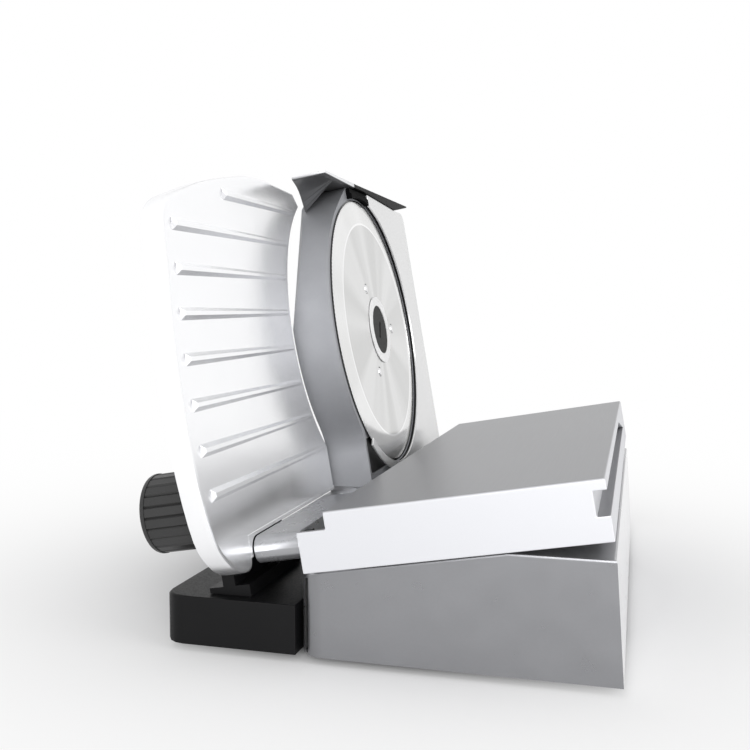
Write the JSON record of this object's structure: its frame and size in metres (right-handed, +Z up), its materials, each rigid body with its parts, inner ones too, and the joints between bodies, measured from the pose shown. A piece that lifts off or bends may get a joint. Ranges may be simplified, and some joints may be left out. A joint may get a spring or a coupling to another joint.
{
  "type": "electric food slicer",
  "caption": "Electric food slicer with a tilted serrated disc blade, a ribbed thickness plate set by a cam knob, and a sliding food tray on a box base.",
  "frame": {"origin": "centre of the bounding box footprint, on the surface that the four feet stand on", "axes": "+X toward the food tray side, +Y away from the person who slices, +Z up"},
  "size_m": [0.2554, 0.4186, 0.2708],
  "materials": {
    "cast_silver": "satin cast aluminium",
    "brushed_silver": "brushed stainless sheet",
    "polished_steel": "polished steel",
    "pale_plate": "pale satin paint",
    "dark_steel": "dark machined steel",
    "black_plastic": "matte black",
    "white_plastic": "matte white",
    "black_rubber": "matte rubber"
  },
  "bodies": {
    "frame": {"base_body": "cast_silver", "base_bottom_plate": "dark_steel", "base_side_tray": "black_plastic", "foot_front_left": "black_rubber", "foot_front_right": "black_rubber", "foot_rear_left": "black_rubber", "foot_rear_right": "black_rubber", "rod_bearing_front": "black_plastic", "rod_bearing_rear": "black_plastic", "glide_post": "black_plastic", "blade_housing": "cast_silver", "front_plate": "pale_plate", "blade_backing": "black_plastic", "top_insert": "black_plastic", "roof_hood": "cast_silver", "roof_cap": "black_plastic", "rear_cover": "cast_silver", "cover_screw_1": "polished_steel", "cover_screw_2": "polished_steel", "cover_screw_3": "polished_steel", "cover_screw_4": "polished_steel", "motor_mount": "dark_steel", "motor_can": "polished_steel", "motor_end_cap": "dark_steel", "worm_bearing": "dark_steel", "food_ledge": "cast_silver", "ledge_plug": "black_plastic", "cam_post": "black_plastic", "switch_bezel": "black_plastic", "cord_gland": "black_rubber"},
    "blade_unit": {"blade": "polished_steel", "blade_hub": "polished_steel", "blade_gear": "dark_steel", "hub_ring": "white_plastic", "blade_screw_1": "polished_steel", "blade_screw_2": "polished_steel", "blade_screw_3": "polished_steel"},
    "lock": {"blade_lock": "black_plastic"},
    "motor_unit": {"worm_shaft": "polished_steel", "motor_rotor": "dark_steel", "cooling_fan": "black_plastic"},
    "thickness_plate": {"fence_plate": "cast_silver", "fence_carrier": "black_plastic", "follower_pin": "polished_steel", "guide_pin": "polished_steel"},
    "knob": {"thickness_knob": "black_plastic", "cam_drum": "black_plastic"},
    "carriage": {"carriage_tray": "brushed_silver", "carriage_rod": "polished_steel", "glide_rail": "black_plastic"},
    "rocker": {"switch_rocker": "black_plastic"}
  },
  "joints": [
    {"name": "blade_spin", "type": "hinge", "parent": "frame", "child": "blade_unit", "pos_m": [-0.05233, 0.0607, 0.165], "axis": [0.9852, 0, 0.1716], "continuous": true},
    {"name": "motor_spin", "type": "hinge", "parent": "frame", "child": "motor_unit", "pos_m": [-0.08034, 0.0607, 0.11597], "axis": [0, 1, 0], "continuous": true},
    {"name": "lock_turn", "type": "hinge", "parent": "blade_unit", "child": "lock", "pos_m": [-0.05233, 0.0607, 0.165], "axis": [0.9852, 0, 0.1716], "range_deg": [0, 90]},
    {"name": "plate_slide", "type": "slide", "parent": "frame", "child": "thickness_plate", "axis": [0.9852, 0, 0.1716], "range_m": [0, 0.027]},
    {"name": "knob_turn", "type": "hinge", "parent": "frame", "child": "knob", "pos_m": [-0.11511, -0.1593, 0.07083], "axis": [0.9852, 0, 0.1716], "range_deg": [0, 300]},
    {"name": "carriage_slide", "type": "slide", "parent": "frame", "child": "carriage", "axis": [0, 1, 0], "range_m": [0, 0.2]},
    {"name": "switch_rock", "type": "hinge", "parent": "frame", "child": "rocker", "pos_m": [-0.117, 0.1417, 0.17201], "axis": [0, 1, 0], "range_deg": [0, 14]}
  ],
  "couplings": [
    {"joint": "motor_spin", "follows": "blade_spin", "ratio": -50},
    {"joint": "knob_turn", "follows": "plate_slide", "rad_per_m": 193.9}
  ]
}
